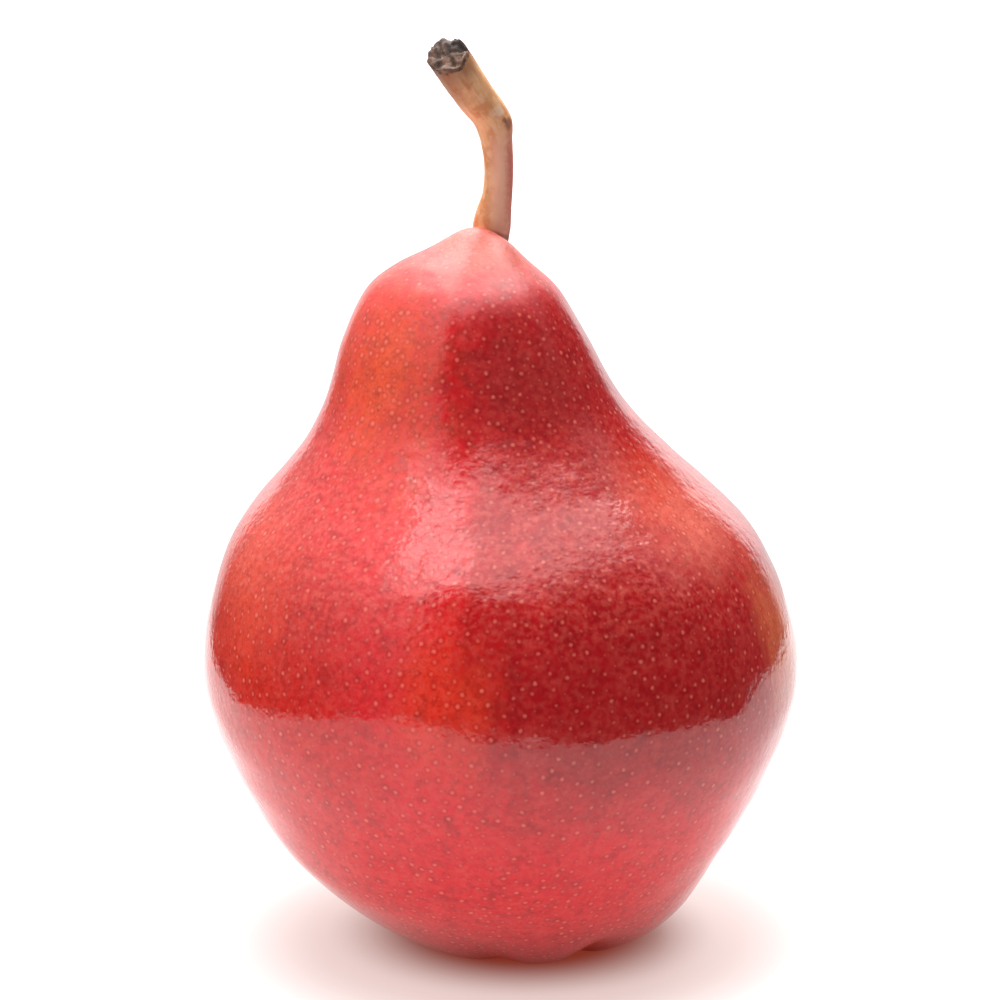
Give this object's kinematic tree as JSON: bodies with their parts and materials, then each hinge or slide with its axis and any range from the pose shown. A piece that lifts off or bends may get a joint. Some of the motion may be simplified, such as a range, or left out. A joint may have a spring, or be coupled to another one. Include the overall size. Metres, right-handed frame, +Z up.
{
  "type": "pear",
  "caption": "Whole ripe red pear standing on its foot, with a bent woody stem on the crown and a dried calyx in the basin under it.",
  "frame": {"origin": "middle of the pear's box at the level of its foot, where it rests", "axes": "+Z up from the foot to the stem; the pictured side faces -Y and the neck leans towards -X"},
  "size_m": [0.0756, 0.0762, 0.1165],
  "materials": {
    "skin": null,
    "bark": "dry woody stem, tan to pinkish brown, with a dark cut end",
    "dry_calyx": "dry, dull brown sepals and cup"
  },
  "bodies": {
    "root": {"fruit": "skin", "stem": "bark", "calyx": "dry_calyx"}
  },
  "joints": []
}
